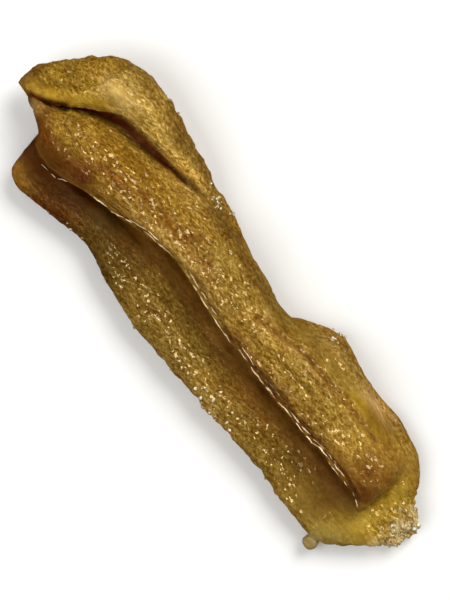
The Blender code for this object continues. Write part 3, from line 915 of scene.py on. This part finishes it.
class Graph:
    """A material's node tree, with short ways to add nodes and join them."""

    def __init__(self, name):
        self.material = bpy.data.materials.new(name)
        self.material.use_nodes = True
        self.tree = self.material.node_tree
        self.shader = self.tree.nodes["Principled BSDF"]
        self.place = self.add("ShaderNodeTexCoord").outputs["Object"]

    def add(self, kind, **settings):
        """A new node with its properties set."""
        made = self.tree.nodes.new(kind)
        for key, value in settings.items():
            setattr(made, key, value)
        return made

    def join(self, source, target):
        """Links one socket to another."""
        self.tree.links.new(source, target)

    def feed(self, name, source):
        """Links a socket to the shader's own socket of that name."""
        self.join(source, self.shader.inputs[name])

    def finish(self, settings):
        """Sets the shader's own sockets, by name."""
        for name, value in settings.items():
            self.shader.inputs[name].default_value = value

    def value(self, name):
        """The number stored on the mesh under that name."""
        return self.add("ShaderNodeAttribute", attribute_name=name).outputs["Fac"]

    def colour(self, name):
        """The colour stored on the mesh under that name."""
        return self.add("ShaderNodeAttribute", attribute_name=name).outputs["Color"]

    def stretched(self, stretch, turn=0):
        """Places stretched along each axis, turned by that many degrees seen from above."""
        turned = self.add("ShaderNodeVectorRotate", rotation_type="Z_AXIS")
        turned.inputs["Angle"].default_value = math.radians(turn)
        self.join(self.place, turned.inputs["Vector"])
        mapping = self.add("ShaderNodeMapping")
        mapping.inputs["Scale"].default_value = [1 / s for s in stretch]
        self.join(turned.outputs["Vector"], mapping.inputs["Vector"])
        return mapping.outputs["Vector"]

    def noise(self, size, detail=2.0, roughness=0.5, stretch=(1, 1, 1), turn=0):
        """Noise with features of that size in millimetres."""
        made = self.add("ShaderNodeTexNoise")
        made.inputs["Scale"].default_value = 1 / (size * MM)
        made.inputs["Detail"].default_value = detail
        made.inputs["Roughness"].default_value = roughness
        self.join(self.stretched(stretch, turn), made.inputs["Vector"])
        return made.outputs["Fac"]

    def ramp(self, source, *stops):
        """A colour ramp over (place, colour) stops."""
        made = self.add("ShaderNodeValToRGB")
        elements = made.color_ramp.elements
        while len(elements) < len(stops):
            elements.new(0.5)
        for element, (place, colour) in zip(elements, stops):
            element.position = place
            element.color = (*colour, 1.0)
        self.join(source, made.inputs["Fac"])
        return made.outputs["Color"]

    def spread(self, source, low, high, to_low, to_high):
        """The source's range from low to high laid onto another range."""
        made = self.add("ShaderNodeMapRange")
        for name, value in zip(("From Min", "From Max", "To Min", "To Max"), (low, high, to_low, to_high)):
            made.inputs[name].default_value = value
        self.join(source, made.inputs["Value"])
        return made.outputs["Result"]

    def mixed(self, how, share, first, second):
        """Two colours mixed in that way, by a number or a socket."""
        made = self.add("ShaderNodeMix", data_type="RGBA", blend_type=how)
        if isinstance(share, (int, float)):
            made.inputs["Factor"].default_value = share
        else:
            self.join(share, made.inputs["Factor"])
        self.join(first, made.inputs["A"])
        self.join(second, made.inputs["B"])
        return made.outputs["Result"]

    def highest(self, first, second):
        """The higher of two numbers."""
        made = self.add("ShaderNodeMath", operation="MAXIMUM")
        self.join(first, made.inputs[0])
        self.join(second, made.inputs[1])
        return made.outputs["Value"]

    def cells(self, size, stretch=(1, 1, 1)):
        """A random colour for each cell of that size in millimetres."""
        made = self.add("ShaderNodeTexVoronoi")
        made.inputs["Scale"].default_value = 1 / (size * MM)
        self.join(self.stretched(stretch), made.inputs["Vector"])
        return made.outputs["Color"]

    def vector(self, operation, *inputs):
        """A vector node over sockets or plain values."""
        made = self.add("ShaderNodeVectorMath", operation=operation)
        for slot, source in zip(made.inputs, inputs):
            if isinstance(source, tuple):
                slot.default_value = source
            else:
                self.join(source, slot)
        return made

    def tilted(self, normal, cells, tilt):
        """A normal that each cell tilts its own way."""
        centred = self.vector("SUBTRACT", cells, (0.5, 0.5, 0.5)).outputs["Vector"]
        scaled = self.vector("SCALE", centred)
        scaled.inputs["Scale"].default_value = tilt
        leaning = self.vector("ADD", normal, scaled.outputs["Vector"]).outputs["Vector"]
        return self.vector("NORMALIZE", leaning).outputs["Vector"]

    def bump(self, source, height):
        """A bump of that height in millimetres."""
        made = self.add("ShaderNodeBump")
        made.inputs["Distance"].default_value = height * MM
        self.join(source, made.inputs["Height"])
        return made.outputs["Normal"]


def flesh_tone(g, fine, strokes):
    """The flesh's broad tint with fine ticks, dust, streaks and brown patches laid over it, and browner
    creases and paler grain tops, partly painted shade and light.
    """
    grainy = g.value("grainy")
    streaks = g.noise(0.55, detail=3.0, roughness=0.6, stretch=(8, 1, 1))
    patches = g.noise(3.2, detail=3.0, roughness=0.6, stretch=(2.4, 1, 1))
    layers = (
        (g.spread(grainy, 0, 1, 0.12, 1.0), strokes, TICKS),
        (g.spread(grainy, 0, 1, 0.3, 0.9), fine, DUST),
        (g.spread(grainy, 0, 1, 0.15, 0.7), streaks, STREAKS),
        (0.8, patches, BROWN_PATCHES),
        (0.65, g.value("grain"), CREASE_SHADE_AND_TOP_LIGHT),
    )
    tone = g.colour("tint")
    for share, source, stops in layers:
        tone = g.mixed("MULTIPLY", share, tone, g.ramp(source, *stops))
    return tone


def add_glints(g):
    """A clear coat in small flat cells, each tilted its own way, so that some of them catch a lamp."""
    cells = g.cells(0.42, stretch=(1.3, 1, 1))
    g.feed("Coat Weight", g.mixed("MULTIPLY", 1.0, g.ramp(cells, *SHINY_CELLS), g.value("glinting")))
    flat = g.add("ShaderNodeNewGeometry").outputs["Normal"]
    g.feed("Coat Normal", g.tilted(flat, cells, CELL_TILT))


def flesh_material():
    """Dried banana flesh: golden, grainy and a little sticky, with brown flecks and small glints."""
    g = Graph("dried_flesh")
    fine = g.noise(0.26, detail=2.0, roughness=0.6)
    one_way = g.noise(0.40, detail=2.0, roughness=0.55, stretch=(2.4, 1, 1), turn=-16)
    other_way = g.noise(0.40, detail=2.0, roughness=0.55, stretch=(2.0, 1, 1), turn=24)
    strokes = g.highest(one_way, other_way)
    g.feed("Base Color", flesh_tone(g, fine, strokes))
    g.feed("Roughness", g.spread(strokes, 0.4, 0.7, 0.60, 0.42))
    g.feed("Normal", g.bump(g.mixed("ADD", 0.5, fine, strokes), 0.10))
    add_glints(g)
    g.finish(FLESH_FINISH)
    return g.material


def crumb_material():
    """Sugar crystals and crumbs, from brown through cream to clear greyish white."""
    g = Graph("edge_crumb")
    patches = g.noise(0.5, detail=2.0)
    g.feed("Base Color", g.ramp(patches, *[(place, linear(colour)) for place, colour in CRUMB_COLOURS]))
    g.feed("Roughness", g.spread(patches, 0.3, 0.7, 0.5, 0.15))
    g.feed("Normal", g.bump(g.noise(0.2), 0.06))
    g.finish(CRUMB_FINISH)
    return g.material


def fibre_material():
    """Pale, slightly pink fibre that catches the light."""
    g = Graph("pale_fibre")
    along = g.noise(0.8, detail=3.0, roughness=0.7)
    g.feed("Base Color", g.mixed("MULTIPLY", 1.0, g.colour("tint"), g.ramp(along, *FIBRE_SHADES)))
    g.feed("Roughness", g.spread(along, 0.3, 0.7, 0.45, 0.25))
    g.feed("Normal", g.bump(g.noise(0.2), 0.08))
    g.finish(FIBRE_FINISH)
    return g.material


def shown(name, mesh, material):
    """A piece of the slice that shows, with the given material and smooth shading."""
    item = bpy.data.objects.new(name, mesh)
    bpy.context.scene.collection.objects.link(item)
    mesh.materials.clear()
    mesh.materials.append(material)
    mesh.shade_smooth()
    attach(item, "root")
    return item


def make_slice():
    """The dried slice, which stands for its plain solid, with the fibres and crumbs on it."""
    flesh = shown("dried_slice", slice_mesh(), flesh_material())
    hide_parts("banana_slice")
    shown("lip_fibres", fibre_mesh(flesh.data), fibre_material())
    shown("edge_crumbs", crumb_mesh(flesh.data), crumb_material())


def make_camera():
    """Looks straight down on the slice, turned as in the photo."""
    data = bpy.data.cameras.new("camera")
    data.lens = LENS
    data.sensor_width = SENSOR
    camera = bpy.data.objects.new("camera", data)
    bpy.context.scene.collection.objects.link(camera)
    camera.location = Vector((0, 0, FRAME_HEIGHT * LENS / SENSOR)) * MM
    camera.rotation_euler = (0, 0, VIEW_TURN)
    bpy.context.scene.camera = camera


def make_floor():
    """A plain pale floor, which the slice's gloss doesn't mirror."""
    mesh = bmesh.new()
    bmesh.ops.create_grid(mesh, x_segments=1, y_segments=1, size=FLOOR_SIZE)
    data = bpy.data.meshes.new("floor")
    mesh.to_mesh(data)
    mesh.free()
    floor = bpy.data.objects.new("floor", data)
    bpy.context.scene.collection.objects.link(floor)
    material = bpy.data.materials.new("floor")
    material.use_nodes = True
    shader = material.node_tree.nodes["Principled BSDF"]
    shader.inputs["Base Color"].default_value = FLOOR_COLOUR
    shader.inputs["Roughness"].default_value = FLOOR_ROUGHNESS
    data.materials.append(material)
    floor.visible_glossy = False


def add_lamp(name, direction, size, watts, sparkle=False):
    """A square lamp that faces the slice from a direction in the picture, for soft light or for glints."""
    data = bpy.data.lights.new(name, "AREA")
    data.size = size * MM
    data.energy = watts
    data.color = WARM_WHITE if sparkle else WHITE
    lamp = bpy.data.objects.new(name, data)
    bpy.context.scene.collection.objects.link(lamp)
    right, up, above = direction
    away = (PICTURE_RIGHT * right + PICTURE_UP * up + Vector((0, 0, above))).normalized()
    lamp.location = away * LAMP_DISTANCE * MM
    lamp.rotation_mode = "QUATERNION"
    lamp.rotation_quaternion = away.to_track_quat("Z", "Y")
    lamp.visible_glossy = sparkle
    lamp.visible_diffuse = not sparkle


def make_light():
    """Soft studio light from the upper right, an even sky, and warm lamps that show only as glints."""
    for name, direction, size, watts in SOFT_LAMPS:
        add_lamp(name, direction, size, watts)
    for number, direction in enumerate(GLINT_LAMPS):
        add_lamp(f"glint_{number}", direction, GLINT_SIZE, GLINT_WATTS, sparkle=True)
    world = bpy.data.worlds.new("studio")
    bpy.context.scene.world = world
    world.use_nodes = True
    sky = world.node_tree.nodes["Background"]
    sky.inputs["Color"].default_value = (*WHITE, 1.0)
    sky.inputs["Strength"].default_value = SKY_STRENGTH
    world.cycles_visibility.glossy = False
    bpy.context.scene.view_settings.view_transform = "Standard"


make_slice()
make_floor()
make_light()
make_camera()
